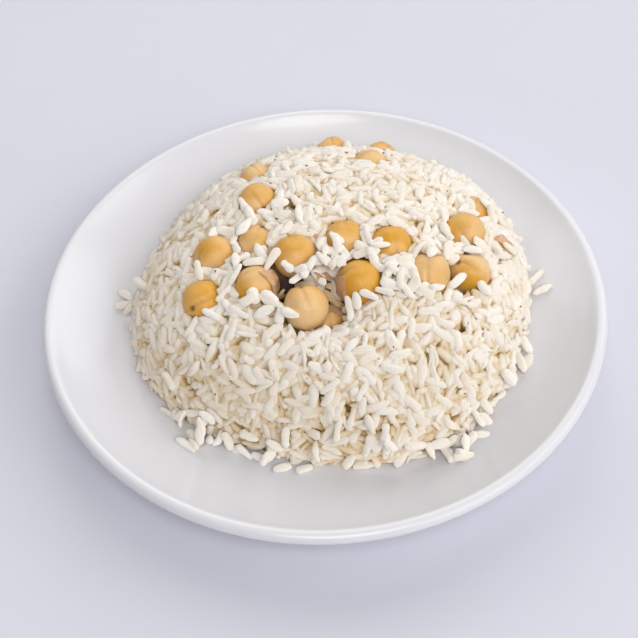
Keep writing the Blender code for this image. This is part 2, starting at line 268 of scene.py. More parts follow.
def turn_on_wheel(name, section, sides, low, high):
    """A closed round piece, as thrown on a wheel: a section turned about the upright axis."""
    angles = np.arange(sides) * math.tau / sides
    rings = np.array(section)
    x = rings[:, :1] * np.cos(angles)
    y = rings[:, :1] * np.sin(angles)
    z = np.repeat(rings[:, 1:], sides, axis=1)
    points = np.stack([x, y, z], axis=-1).reshape(-1, 3)
    points = np.vstack([[0, 0, low], points, [0, 0, high]]) * MM
    last = len(points) - 1
    faces = []
    for side in range(sides):
        after = (side + 1) % sides
        faces.append((0, 1 + after, 1 + side))
        faces.append((last, last - sides + side, last - sides + after))
        for row in range(len(section) - 1):
            near = 1 + row * sides
            far = near + sides
            faces.append((near + side, near + after, far + after, far + side))
    mesh = bpy.data.meshes.new(name)
    mesh.from_pydata(points.tolist(), [], faces)
    mesh.shade_smooth()
    piece = bpy.data.objects.new(name, mesh)
    bpy.context.scene.collection.objects.link(piece)
    return piece


porcelain, nodes, links, shader = new_finish("porcelain")
place = nodes.new("ShaderNodeTexCoord")
upright = nodes.new("ShaderNodeSeparateXYZ")
links.new(place.outputs["Object"], upright.inputs[0])
glaze_clouds = add_mottle(nodes, 35.0, 0.35, 0.22)
glaze = blend_colours(nodes, links, glaze_clouds, GLAZE, tuple(0.975 * c for c in GLAZE[:3]) + (1.0,))
bare = remap(nodes, links, upright.outputs["Z"], 0.0001, 0.0005, 1.0, 0.0)
links.new(blend_colours(nodes, links, bare, glaze, BARE_FOOT), shader.inputs["Base Color"])
shine = remap(nodes, links, add_mottle(nodes, 60.0, 0.5, 0.25), 0.0, 1.0, 0.13, 0.22)
dull_foot = nodes.new("ShaderNodeMath")
dull_foot.operation = "MAXIMUM"
links.new(shine, dull_foot.inputs[0])
links.new(remap(nodes, links, bare, 0.0, 1.0, 0.0, 0.75), dull_foot.inputs[1])
links.new(dull_foot.outputs[0], shader.inputs["Roughness"])
shader.inputs["Specular IOR Level"].default_value = 0.40
add_bump(nodes, links, shader, add_mottle(nodes, 22.0, 0.15, 0.3), 0.00025, 0.35)

dish = turn_on_wheel("dish", plate_section(), WHEEL_SIDES, FLOOR_HEIGHT - FLOOR_THICKNESS, FLOOR_HEIGHT)
dish.data.materials.append(porcelain)
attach(dish, "root")
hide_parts("plate")

# The chickpeas
# Cooked whole chickpeas with their thin skins on: angular balls with a blunt beak, a furrow that
# runs from the beak between the two halves, and golden patches where the skin lies closest.
CHICKPEAS = (
    (5.8, 58.5, 30.2, 6.0, 100, 10, 0, 0.05),
    (22.8, 56.2, 29.3, 5.7, 70, 0, 30, 0.15),
    (18.7, 45.3, 35.4, 6.2, 200, -5, 20, 0.75),
    (-20.8, 41.1, 35.1, 6.0, 120, 10, 0, 0.6),
    (-20.5, 24.0, 41.9, 6.4, 300, -10, 15, 0.65),
    (-35.2, 2.2, 39.9, 6.7, 236, -35, 20, 0.25),
    (-38.9, -13.7, 36.7, 6.5, 215, -5, -40, 1.0),
    (-21.3, 5.2, 41.6, 6.1, 70, 5, 10, 0.3),
    (-21.3, -12.7, 41.1, 6.8, 190, -15, 10, 1.0),
    (-8.5, -4.0, 45.0, 6.8, 130, -20, 10, 0.5),
    (-6.0, -23.5, 42.4, 7.0, 110, 25, 0, 0.1),
    (7.7, 2.3, 44.7, 6.4, 95, -25, 10, 0.75),
    (22.6, -0.2, 43.4, 6.4, 275, -35, -10, 1.1),
    (11.5, -15.1, 43.0, 7.0, 182, -15, 5, 1.5),
    (34.0, -11.0, 40.8, 6.8, 275, -40, 10, 1.0),
    (47.6, 9.4, 37.4, 6.7, 320, -30, 40, 0.5),
    (52.9, 23.9, 31.3, 5.8, 60, 0, 0, 0.6),
    (58.6, 7.9, 27.6, 5.7, 60, 10, 30, 0.3),
    (48.0, -6.6, 35.2, 6.6, 160, 20, -20, 0.35),
    (1.0, -21.8, 31.0, 6.0, 280, -25, 0, 0.1),
)
CHICKPEA_ROWS = 56
CHICKPEA_SIDES = 72
PALE_SKIN = (0.80, 0.53, 0.25, 1.0)
GOLD_SKIN = (0.72, 0.37, 0.045, 1.0)
# Painted shade: darker brown in the furrow
FURROW_SHADE = (0.56, 0.29, 0.09, 1.0)
SCAR_SKIN = (0.22, 0.11, 0.04, 1.0)


def chickpea_turn(heading, tilt, roll):
    """Turns a chickpea so that its beak, along its own X, points at the heading and tilt given."""
    aim = Matrix.Rotation(math.radians(heading), 3, "Z") @ Matrix.Rotation(math.radians(-tilt), 3, "Y")
    return np.array(aim @ Matrix.Rotation(math.radians(roll), 3, "X"))


def random_ways(rng, count):
    """Directions spread at random, each one unit long."""
    ways = rng.normal(size=(count, 3))
    return ways / np.linalg.norm(ways, axis=1)[:, None]


def chickpea_form(way, seed):
    """For directions from the middle: the distance to the skin, the furrow, the scar, the golden patches."""
    rng = np.random.default_rng(seed)
    x, y, z = way.T
    reach = 1 / np.sqrt((x / 1.04) ** 2 + (y / 1.01) ** 2 + (z / 0.98) ** 2)
    reach = reach + 0.11 * np.exp((x - 1) / 0.05)
    reach = reach - 0.05 * np.exp((-x - 1) / 0.10)
    front = np.clip((x + 0.75) / 1.0, 0, 1)
    wander = 0.06 * np.sin(2.2 * x + rng.uniform(0, 6))
    furrow = np.exp(-(((y - wander) / 0.075) ** 2)) * front * np.clip(z / 0.25, 0, 1)
    cheeks = np.exp(-(((np.abs(y) - 0.40) / 0.26) ** 2)) * front * np.clip(z / 0.3, 0, 1)
    reach = reach - 0.050 * furrow + 0.030 * cheeks
    for plane in random_ways(rng, 6):
        # Flatter sides, where it lay against others as it cooked
        limit = rng.uniform(0.93, 0.99) / np.maximum(way @ plane, 0.05)
        reach = -np.log(np.exp(-26 * reach) + np.exp(-26 * limit)) / 26 + 0.004
    for pull in random_ways(rng, 7):
        reach = reach + 0.010 * np.sin(3.4 * (way @ pull) + rng.uniform(0, 6))
    for pole, spot in zip(random_ways(rng, 7), random_ways(rng, 7)):
        # Shallow creases where the skin has loosened
        line = (way @ pole) - rng.uniform(-0.5, 0.5)
        near = np.exp(-(((1 - way @ spot) / 0.30) ** 2))
        reach = reach - 0.012 * np.exp(-((line / 0.030) ** 2)) * near
        reach = reach + 0.008 * np.exp(-(((line - 0.06) / 0.05) ** 2)) * near
    scar = np.exp(-(((1 - way @ np.array([0.80, 0.0, 0.60])) / 0.010) ** 2))
    gold = np.zeros(len(way))
    for pull in random_ways(rng, 4):
        gold = gold + np.sin(2.1 * (way @ pull) + rng.uniform(0, 6))
    return reach, furrow, scar, 0.5 + 0.30 * gold


def set_attribute(mesh, name, values):
    """Stores one number for each point of a mesh, for its material to read."""
    mesh.attributes.new(name, "FLOAT", "POINT").data.foreach_set("value", np.asarray(values, np.float32))


def read_attribute(nodes, name):
    """The output of such a number in a material."""
    node = nodes.new("ShaderNodeAttribute")
    node.attribute_name = name
    return node.outputs["Fac"]


chickpea_skin, nodes, links, shader = new_finish("chickpea_skin")
ripeness = nodes.new("ShaderNodeMath")
ripeness.operation = "MULTIPLY_ADD"
ripeness.inputs[1].default_value = 0.30
links.new(add_mottle(nodes, 170.0, 0.4, 0.2), ripeness.inputs[0])
links.new(remap(nodes, links, read_attribute(nodes, "gold"), 0.0, 1.0, -0.15, 0.85), ripeness.inputs[2])
skin = blend_colours(nodes, links, remap(nodes, links, ripeness.outputs[0], 0, 1, 0, 1), PALE_SKIN, GOLD_SKIN)
# Painted shade: the furrow is painted darker brown
furrow_shade_mask = remap(nodes, links, read_attribute(nodes, "furrow"), 0.0, 1.0, 0.0, 0.45)
skin = blend_colours(nodes, links, furrow_shade_mask, skin, FURROW_SHADE)
skin = blend_colours(nodes, links, read_attribute(nodes, "scar"), skin, SCAR_SKIN)
links.new(skin, shader.inputs["Base Color"])
gleam = remap(nodes, links, add_mottle(nodes, 420.0, 0.4, 0.2), 0.0, 1.0, 0.24, 0.42)
links.new(gleam, shader.inputs["Roughness"])
shader.inputs["IOR"].default_value = 1.42
shader.inputs["Subsurface Weight"].default_value = 0.35
shader.inputs["Subsurface Radius"].default_value = (1.0, 0.45, 0.16)
shader.inputs["Subsurface Scale"].default_value = 0.0020
pores = nodes.new("ShaderNodeMix")
links.new(add_mottle(nodes, 380.0, 0.5, 0.25), pores.inputs[2])
links.new(add_mottle(nodes, 1500.0, 0.5, 0.25), pores.inputs[3])
pores.inputs[0].default_value = 0.35
add_bump(nodes, links, shader, pores.outputs[0], 0.00022, 0.55)

falls = np.linspace(0, math.pi, CHICKPEA_ROWS + 1)[1:-1]
turns = np.arange(CHICKPEA_SIDES) * math.tau / CHICKPEA_SIDES
skin_ways = np.stack([
    np.repeat(np.cos(falls)[:, None], CHICKPEA_SIDES, axis=1),
    np.sin(falls)[:, None] * np.sin(turns),
    np.sin(falls)[:, None] * np.cos(turns),
], axis=-1).reshape(-1, 3)
skin_ways = np.vstack([[1, 0, 0], skin_ways, [-1, 0, 0]])
skin_faces = []
for side in range(CHICKPEA_SIDES):
    after = (side + 1) % CHICKPEA_SIDES
    skin_faces.append((0, 1 + after, 1 + side))
    end = len(skin_ways) - 1
    skin_faces.append((end, end - CHICKPEA_SIDES + side, end - CHICKPEA_SIDES + after))
    for row in range(CHICKPEA_ROWS - 2):
        near = 1 + row * CHICKPEA_SIDES
        far = near + CHICKPEA_SIDES
        skin_faces.append((near + side, near + after, far + after, far + side))
for number, (x, y, z, radius, heading, tilt, roll, ripe) in enumerate(CHICKPEAS, start=1):
    reach, furrow, scar, gold = chickpea_form(skin_ways, number)
    points = (skin_ways * reach[:, None] * radius) @ chickpea_turn(heading, tilt, roll).T + (x, y, z)
    mesh = bpy.data.meshes.new(f"whole_chickpea_{number:02d}")
    mesh.from_pydata((points * MM).tolist(), [], skin_faces)
    mesh.shade_smooth()
    set_attribute(mesh, "gold", np.clip(gold + ripe - 0.5, 0, 1))
    set_attribute(mesh, "furrow", furrow)
    set_attribute(mesh, "scar", scar)
    mesh.materials.append(chickpea_skin)
    chickpea = bpy.data.objects.new(mesh.name, mesh)
    bpy.context.scene.collection.objects.link(chickpea)
    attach(chickpea, "root")
    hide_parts(f"chickpea_{number:02d}")

# The body of the heap
# Rice turned out of a bowl holds its round form. Under and between the outer grains it is stuck
# together by its own starch, so it is one closed bumpy piece. Its colour holds painted shade: darker and
# warmer than the grains, dark brown in its dips, and near black in the hollows between the chickpeas.
HEAP_X = 3.4
HEAP_Y = 5.9
HEAP_RADIUS = 68.4
HEAP_HEIGHT = 43.9
HEAP_SHAPE = 2.2
HEAP_SWELLS = ((0.31, -1.07), (1.03, 0.42), (-1.10, -0.28), (-0.29, 1.29))
HOLLOWS = ((0.5, -20.0, 7.5, 11.0), (-12.5, -11.0, 5.0, 7.0))
BODY_DEPTH = 3.9
SHELL_DEPTH = 3.3
BODY_SIDES = 420
BODY_ROWS = 170
UNDER_SHARES = (0.9, 0.8, 0.65, 0.4)
# Scale of the hollows' fall, for the painted shade in them
HOLLOW_SHADE_FALL = 8.0
# The body's rice colour, partly the rice itself and partly painted shade: darker and warmer than the grains,
# as the gaps it is seen through
SHELL_RICE = (0.72, 0.57, 0.36, 1.0)
SHELL_CREAM = (0.60, 0.43, 0.21, 1.0)
# Painted shade: dark brown where the body shows deep between the grains, and on the deepest grains
DEEP_GAP_SHADE = (0.30, 0.175, 0.055, 1.0)
# Spots left bare of grains, where the body dips and is painted dark as shade
CLEAR_SPOTS = (
    (-13.0, -10.5, 41.0, 5.0), (-15.5, -7.5, 41.0, 3.0), (-11.5, -15.0, 40.0, 3.6), (2.5, -19.0, 39.0, 5.0),
    (3.0, -25.0, 38.0, 3.6), (11.0, -8.5, 44.5, 2.8), (-25.0, -5.3, 42.5, 2.2), (43.0, -9.5, 40.0, 2.6),
    (43.5, -15.0, 37.0, 2.2), (54.0, 6.0, 37.0, 2.2), (-51.0, -37.0, 14.0, 2.0), (-45.0, -43.0, 12.0, 1.6),
    (-39.0, -46.0, 15.0, 1.4), (4.0, -51.0, 31.5, 1.3), (1.0, -44.0, 37.5, 1.2), (16.0, -41.0, 39.0, 1.2),
    (14.0, -32.0, 44.0, 1.2), (34.0, -31.0, 39.5, 1.2), (45.0, -26.0, 36.5, 1.8), (-23.0, -26.0, 42.5, 1.2),
    (68.0, -3.0, 22.0, 2.0), (28.0, -56.0, 24.0, 1.6), (-48.0, -5.0, 37.5, 2.0),
)
# Painted shade: near-black brown in the hollows between the chickpeas, where the deep cavities are in shade
HOLLOW_SHADE = (0.060, 0.030, 0.022, 1.0)


def heap_radius(angle):
    """Radius of the heap's foot in each direction, which is not quite round."""
    radius = np.full_like(angle, HEAP_RADIUS)
    for order, (even, odd) in enumerate(HEAP_SWELLS, start=1):
        radius = radius + even * np.cos(order * angle) + odd * np.sin(order * angle)
    return radius


def hollow_fall(x, y):
    """How far the hollows between the chickpeas lower the heap at a place."""
    fall = np.zeros_like(x)
    for hollow_x, hollow_y, radius, depth in HOLLOWS:
        fall = fall + depth * np.exp(-0.5 * ((x - hollow_x) ** 2 + (y - hollow_y) ** 2) / radius**2)
    return fall


def heap_points(angle, out, depth):
    """Points of the heap: out is 0 at the crown and 1 at the foot, depth is how far inside they lie."""
    rise = (1.0 - out) * math.pi / 2
    level = np.sin(rise) ** (2 / HEAP_SHAPE)
    reach = (heap_radius(angle) - depth) * np.clip(np.cos(rise), 0, 1) ** (2 / HEAP_SHAPE)
    x = HEAP_X + reach * np.cos(angle)
    y = HEAP_Y + reach * np.sin(angle)
    foot = plate_height(np.hypot(x, y)) + 0.3
    crown = FLOOR_HEIGHT + HEAP_HEIGHT - depth
    z = foot + (crown - foot) * level - hollow_fall(x, y)
    return np.stack([x, y, z], axis=-1)


def heap_top(x, y):
    """Height of the heap's outer face over a place, or of the plate beside the heap."""
    across = np.hypot(x - HEAP_X, y - HEAP_Y)
    share = np.clip(across / heap_radius(np.arctan2(y - HEAP_Y, x - HEAP_X)), 0, 1)
    foot = plate_height(np.hypot(x, y))
    rise = (1 - share**HEAP_SHAPE) ** (1 / HEAP_SHAPE)
    return np.maximum(foot + (FLOOR_HEIGHT + HEAP_HEIGHT - foot) * rise - hollow_fall(x, y), foot)


def heap_level(points):
    """1 on the heap's outer face, less inside it and more outside."""
    x, y, z = points.T
    across = np.hypot(x - HEAP_X, y - HEAP_Y)
    radius = heap_radius(np.arctan2(y - HEAP_Y, x - HEAP_X))
    foot = plate_height(np.hypot(x, y)) + 0.3
    crown = FLOOR_HEIGHT + HEAP_HEIGHT
    up = np.clip((z + hollow_fall(x, y) - foot) / (crown - foot), 0, None)
    return ((across / radius) ** HEAP_SHAPE + up**HEAP_SHAPE) ** (1 / HEAP_SHAPE)


def heap_depth(points):
    """How far points lie inside the heap's outer face, and the direction straight out of it."""
    here = heap_level(points)
    step = 0.05
    slope = np.stack([(heap_level(points + step * axis) - here) / step for axis in np.eye(3)], axis=-1)
    steepness = np.maximum(np.linalg.norm(slope, axis=1), 1e-4)
    return (1 - here) / steepness, slope / steepness[:, None]


def ripple(points, pitch, seed):
    """Even random bumps of about one size, from -1 to 1."""
    rng = np.random.default_rng(seed)
    height = np.zeros(len(points))
    for way in random_ways(rng, 14):
        wave = pitch * rng.uniform(0.8, 1.25)
        height = height + np.sin(points @ way * math.tau / wave + rng.uniform(0, 6.3))
    return height / 14**0.5


angle, out = np.meshgrid(np.arange(BODY_SIDES) * math.tau / BODY_SIDES, np.linspace(0.006, 1.0, BODY_ROWS))
body_points = heap_points(angle.ravel(), out.ravel(), BODY_DEPTH)
edge = np.clip((1 - out.ravel()) / 0.05, 0, 1)
dip = np.clip((ripple(body_points, 7.0, 6) - 0.30) / 0.4, 0, 1)
for x, y, z, radius in CLEAR_SPOTS:
    away = np.linalg.norm(body_points - (x, y, z), axis=1)
    dip = np.maximum(dip, np.clip((radius + 3.2 - away) / 1.6, 0, 1))
bumps = 0.45 * ripple(body_points, 5.5, 5) + 0.25 * ripple(body_points, 2.6, 7)
shell = SHELL_DEPTH + edge * (bumps + dip * (BODY_DEPTH + 0.8 - SHELL_DEPTH))
body_points = heap_points(angle.ravel(), out.ravel(), shell)
body_faces = []
for row in range(BODY_ROWS - 1):
    for side in range(BODY_SIDES):
        after = (side + 1) % BODY_SIDES
        near = row * BODY_SIDES
        far = near + BODY_SIDES
        body_faces.append((near + side, far + side, far + after, near + after))
crown = body_points[:BODY_SIDES].mean(axis=0)
rim = (BODY_ROWS - 1) * BODY_SIDES
under_rings = []
for share in UNDER_SHARES:
    ring = body_points[rim:rim + BODY_SIDES].copy()
    ring[:, 0] = HEAP_X + (ring[:, 0] - HEAP_X) * share
    ring[:, 1] = HEAP_Y + (ring[:, 1] - HEAP_Y) * share
    ring[:, 2] = plate_height(np.hypot(ring[:, 0], ring[:, 1])) + 0.3
    under_rings.append(ring)
body_points = np.vstack([body_points, *under_rings, [crown], [[HEAP_X, HEAP_Y, FLOOR_HEIGHT + 0.3]]])
for row in range(len(UNDER_SHARES)):
    for side in range(BODY_SIDES):
        after = (side + 1) % BODY_SIDES
        near = rim + row * BODY_SIDES
        far = near + BODY_SIDES
        body_faces.append((near + side, far + side, far + after, near + after))
innermost = rim + len(UNDER_SHARES) * BODY_SIDES
for side in range(BODY_SIDES):
    after = (side + 1) % BODY_SIDES
    body_faces.append((len(body_points) - 2, side, after))
    body_faces.append((len(body_points) - 1, innermost + after, innermost + side))

packed_rice, nodes, links, shader = new_finish("packed_rice")
# Painted shade: the body is darker and warmer than the grains, with a mottle of its own
body_colour_and_shade = blend_colours(nodes, links, add_mottle(nodes, 260.0, 0.5, 0.2), SHELL_RICE, SHELL_CREAM)
# Painted shade: the body's dips and clear spots, deep between the grains, are painted dark brown
sunk = remap(nodes, links, read_attribute(nodes, "dip"), 0.1, 0.8, 0.0, 1.0)
body_colour_and_shade = blend_colours(nodes, links, sunk, body_colour_and_shade, DEEP_GAP_SHADE)
# Painted shade: the deepest hollows between the chickpeas are painted near black
hollow_shade_mask = remap(nodes, links, read_attribute(nodes, "hollow"), 0.35, 0.75, 0.0, 1.0)
body_colour_and_shade = blend_colours(nodes, links, hollow_shade_mask, body_colour_and_shade, HOLLOW_SHADE)
links.new(body_colour_and_shade, shader.inputs["Base Color"])
links.new(remap(nodes, links, add_mottle(nodes, 300.0, 0.5, 0.2), 0, 1, 0.4, 0.7), shader.inputs["Roughness"])
add_bump(nodes, links, shader, add_mottle(nodes, 260.0, 0.4, 0.2), 0.0012, 0.8)

mesh = bpy.data.meshes.new("heap_body")
mesh.from_pydata((body_points * MM).tolist(), [], body_faces)
mesh.shade_smooth()
set_attribute(mesh, "hollow", hollow_fall(body_points[:, 0], body_points[:, 1]) / HOLLOW_SHADE_FALL)
set_attribute(mesh, "dip", np.concatenate([dip, np.zeros(len(body_points) - len(dip))]))
mesh.materials.append(packed_rice)
heap_body = bpy.data.objects.new("heap_body", mesh)
bpy.context.scene.collection.objects.link(heap_body)
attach(heap_body, "root")
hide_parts("rice_heap")

# Grains laid one by one
# Cooked medium-grain white rice: plump spindles 5 to 9 mm long. These lie over the edges of the
# chickpeas and at the foot of the heap, on whatever is under them. Rows: x, y, heading, length.
GRAIN_LENGTH = 7.7
GRAIN_WIDTH = 2.85
PEARLS = 4
PEARL_PLACES = np.array([-0.37, -0.13, 0.13, 0.37])
PEARL_SIZES = np.array([0.36, 0.47, 0.47, 0.36])
LAID_GRAINS = (
    (-25, 19, -70, 7.0), (-23, 14, -70, 7.4), (-25, 8, -120, 8.8), (-13, 18, 5, 6.4), (-12, 12, 0, 6.6),
    (-7, 10, -85, 9.4), (-14, 4, -125, 7.7), (-11, 5, 55, 6.6), (-22, -7, -10, 8.2), (-28, -5, -95, 6.4),
    (-28, -11, -130, 8.4), (-32, -16, -140, 7.2), (-16, -8, -125, 8.8), (-20, -3, -65, 8.4),
    (-36, -22, -35, 7.0),
    (-30, -22, -60, 8.2), (-22, -20, -65, 5.6), (-17, -22, -35, 8.8), (-14, -27, 70, 6.4),
    (-24, -21, 0, 7.2),
    (-19, -25, 20, 7.6), (-27, -24, -30, 7.4),
    (-11, -11, -35, 5.2), (-8, -15, 40, 7.0), (-5, -13, 70, 7.8), (0, -10, 15, 6.0), (-1, -16, -55, 7.2),
    (0, -3, 65, 5.6), (5, -2, -45, 6.0), (3, -6, -20, 5.6), (7, -7, -60, 6.0), (5, -10, -45, 6.0),
    (1, -7, 80, 5.6),
    (5, -5, 100, 5.6), (-3, -11, 55, 7.4), (-7, -13, -35, 5.6), (2, -11, -35, 5.4),
    (4, -11, 60, 5.4), (6, -11, 55, 5.2), (0, -11, -55, 5.6),
    (57, 23, -35, 6.4), (58, 20, -75, 6.6), (51, 23, -65, 6.4), (60, 3, 10, 7.0), (63, 6, -15, 6.4),
    (58, 4, -65, 6.2), (22, -10, 20, 6.6), (27, -12, -35, 6.8), (25, -18, -110, 7.0), (20, -16, -110, 6.8),
    (29, -20, -40, 6.0), (27, -9, -50, 6.6), (37, -24, 20, 6.2), (9, 52, 0, 7.0), (4, 52, -30, 6.4),
    (16, -7, 35, 5.8), (14, -1, -65, 5.2), (-17, -21, -40, 7.0), (-11, -29, -35, 6.6), (21, -12, 40, 5.4),
    (21, -20, 30, 5.2), (35, -8, 70, 7.4), (33, -19, -30, 5.4), (43, -21, -5, 6.2),
    (15, -2, -75, 8.4), (19, -5, 10, 6.4), (13, -5, -25, 6.2), (13, -8, 5, 6.8), (16, -10, -60, 6.8),
    (22, -14, 60, 8.8), (26, -10, 20, 6.2), (21, -20, -20, 7.2), (26, -15, -60, 7.2), (29, -18, -65, 6.8),
    (26, -22, -35, 7.2), (32, -21, -20, 6.8), (23, -16, 155, 6.8), (24, -19, 80, 7.4), (28, -20, 30, 7.0),
    (31, -4, 60, 8.8), (7, -26, -85, 8.8), (10, -25, -85, 6.4), (14, -23, -20, 6.6), (19, -22, -20, 6.6),
    (41, 5, -70, 7.6), (41, -3, 80, 8.6), (43, -14, 50, 8.6), (52, -14, -25, 6.6), (49, -2, -10, 6.6),
    (25, 5, 20, 7.2), (22, 7, 25, 6.6), (18, 6, 25, 6.8), (-35, 9, 60, 7.0), (-31, 9, -20, 7.0),
    (-40, -5, 100, 7.0),
    (52, 3, 15, 7.4), (55, -4, -40, 7.2), (36, -19, 35, 7.2), (-9, 26, 100, 7.6), (-26, 29, 40, 7.0),
)
FOOT_GRAINS = (
    (-69.5, 9.5, 200, 7.4), (-67.6, 4.2, 160, 7.6), (-69.2, 14.0, 145, 7.2), (75.6, 4.8, 10, 7.6),
    (74.4, 10.6, 38, 7.2),
    (67.0, -21.0, 325, 7.8), (63.8, -27.8, 300, 7.4), (66.0, -26.0, 20, 7.0), (-46.6, -50.4, 318, 8.4),
    (-44.4, -47.6, 292, 8.2), (-52.6, -36.8, 318, 7.4), (-19.2, -57.4, 236, 7.6), (-14.4, -56.6, 262, 7.2),
    (-5.4, -60.6, 280, 7.6), (1.8, -58.2, 252, 7.2), (16.6, -59.6, 268, 7.6), (12.0, -57.8, 300, 7.0),
    (40.6, -56.4, 318, 7.8), (46.8, -50.4, 330, 7.2), (58.2, -36.5, 338, 7.8), (61.0, -33.0, 300, 7.0),
    (-49, -40, 310, 6.6), (-44, -43, 330, 6.8), (-40, -46, 200, 6.4), (-51, -34, 300, 7.0),
    (-48, -42, 345, 6.4), (-48, -44, 235, 6.0), (-41, -48, 290, 7.0), (-39, -49, 275, 6.6),
    (-36, -50, 205, 6.6),
    (-39, -47, 330, 6.4), (-44, -51, 300, 6.8), (-42, -50, 270, 6.6), (-31, -52, 330, 6.4),
    (-28, -54, 325, 7.0),
    (-23, -56, 340, 6.6), (-21, -59, 40, 5.4), (-18, -57, 340, 6.4), (-16, -60, 15, 6.2),
    (-26, -53, 335, 6.6),
    (-33, -51, 300, 6.8), (26, -60, 10, 7.6), (31, -60, 315, 6.4), (37, -60, 295, 7.0), (41, -62, 10, 7.0),
    (42, -59, 280, 6.8), (40, -56, 0, 7.2), (40, -61, 280, 6.6), (47, -53, 350, 7.2), (49, -50, 355, 6.8),
    (50, -47, 345, 7.2), (37, -57, 15, 7.6), (34, -58, 15, 7.2), (44, -56, 20, 7.0), (55, -41, 50, 7.4),
    (-9, -61, 20, 5.8), (5, -62, 10, 6.4), (18, -62, 10, 6.6),
)
pea_centres = np.array([row[:3] for row in CHICKPEAS])
pea_radii = np.array([row[3] for row in CHICKPEAS])


def grain_pearls(centres, axes, lengths, widths):
    """Each grain as a row of four round pearls, for resting and heaping: their places and radii."""
    reach = PEARL_PLACES * lengths[:, None]
    return centres[:, None] + axes[:, None] * reach[:, :, None], PEARL_SIZES * widths[:, None]


def rice_face(x, y):
    """Height of the face that the laid grains lie on, with the hollows bridged by rice."""
    return heap_top(x, y) + hollow_fall(x, y) - 1.4


def rest_grain(x, y, heading, length, width, rounds, floor):
    """Lowers a grain until it rests, at the slope that lets it sink lowest: its middle and direction."""
    turn = math.radians(heading)
    best = None
    for slope in np.radians(np.arange(-56, 57, 4)):
        reach = PEARL_PLACES * length * math.cos(slope)
        own = PEARL_SIZES * width
        px = x + reach * math.cos(turn)
        py = y + reach * math.sin(turn)
        needed = floor(px, py) + own * 0.9
        for pearl in range(PEARLS):
            aside = (px[pearl] - rounds[:, 0]) ** 2 + (py[pearl] - rounds[:, 1]) ** 2
            touch = rounds[:, 3] + own[pearl] * 0.9
            over = aside < touch**2
            if over.any():
                tops = rounds[over, 2] + np.sqrt(touch[over] ** 2 - aside[over])
                needed[pearl] = max(needed[pearl], tops.max())
        height = (needed - PEARL_PLACES * length * math.sin(slope)).max()
        if best is None or height + 0.6 * abs(slope) < best[0]:
            best = (height + 0.6 * abs(slope), height, slope)
    _, height, slope = best
    way = (math.cos(slope) * math.cos(turn), math.cos(slope) * math.sin(turn), math.sin(slope))
    return (x, y, height), way


rng = np.random.default_rng(7)
rounds = np.array([row[:4] for row in CHICKPEAS])
laid_middles = []
laid_ways = []
laid_lengths = []
laid_widths = []
for laid, lift in ((LAID_GRAINS, True), (FOOT_GRAINS, False)):
    for x, y, heading, length in laid:
        width = GRAIN_WIDTH * rng.uniform(0.92, 1.08)
        middle, way = rest_grain(x, y, heading, length, width, rounds, rice_face if lift else heap_top)
        laid_middles.append(middle)
        laid_ways.append(way)
        laid_lengths.append(length)
        laid_widths.append(width)
        own = [np.array([value]) for value in (middle, way, length, width)]
        pearls, sizes = grain_pearls(*own)
        rounds = np.vstack([rounds, np.column_stack([pearls[0], sizes[0] * 0.3])])
laid_middles = np.array(laid_middles)
laid_ways = np.array(laid_ways)
laid_lengths = np.array(laid_lengths)
laid_widths = np.array(laid_widths)

# The heaped grains
# The outer two layers of the heap, some thousand grains, a few of them broken or bent. They are
# heaped by letting them sink towards the body until they touch, round the chickpeas.
HEAPED_GRAINS = 3850
SETTLE_STEPS = 80
PACKING = 0.61
MISSING_SHARE = 0.06
SPLIT_SHARE = 0.16
BROKEN_SHARE = 0.14
GLOW = 0.33
SINK = 0.16
LAST_SINK = 0.03
LAST_STEPS = 22
STEEP_LEAN = 0.65
STAND_OUT = 1.7
FALL_SHARE = 0.85
TOUCH = 0.85
LOWER_STEPS = 4
LOOSE_GAP = 0.4
PRESS = 0.15


def spiral_places(count, first, last, turn):
    """Places (angle, out) evenly over the heap, in one long spiral."""
    outs = np.linspace(first, last, 400)
    line = heap_points(np.zeros_like(outs), outs, 0.0)
    strips = np.linalg.norm(np.diff(line, axis=0), axis=1)
    reach = np.maximum(line[:-1, 0] - HEAP_X, 0.1)
    area = np.concatenate([[0.0], np.cumsum(strips * reach)])
    shares = (np.arange(count) + 0.5) / count
    return turn + np.arange(count) * math.pi * (3 - math.sqrt(5)), np.interp(shares * area[-1], area, outs)


def touching_pairs(points, reach):
    """Pairs of points that lie nearer than reach, found by sorting them into cubes."""
    cubes = np.floor(points / reach).astype(np.int64) + 400
    keys = (cubes[:, 0] * 1000 + cubes[:, 1]) * 1000 + cubes[:, 2]
    order = np.argsort(keys, kind="stable")
    ranked = keys[order]
    steps = [(a, b, c) for a in (0, 1) for b in (-1, 0, 1) for c in (-1, 0, 1) if (a, b, c) >= (0, 0, 0)]
    firsts = []
    seconds = []
    for a, b, c in steps:
        wanted = keys + (a * 1000 + b) * 1000 + c
        left = np.searchsorted(ranked, wanted, "left")
        counts = np.searchsorted(ranked, wanted, "right") - left
        first = np.repeat(np.arange(len(points)), counts)
        starts = np.repeat(left - (np.cumsum(counts) - counts), counts)
        second = order[starts + np.arange(len(first))]
        keep = (first < second) | ((a, b, c) != (0, 0, 0))
        firsts.append(first[keep])
        seconds.append(second[keep])
    first = np.concatenate(firsts)
    second = np.concatenate(seconds)
    near = ((points[first] - points[second]) ** 2).sum(axis=1) < reach**2
    return first[near], second[near]


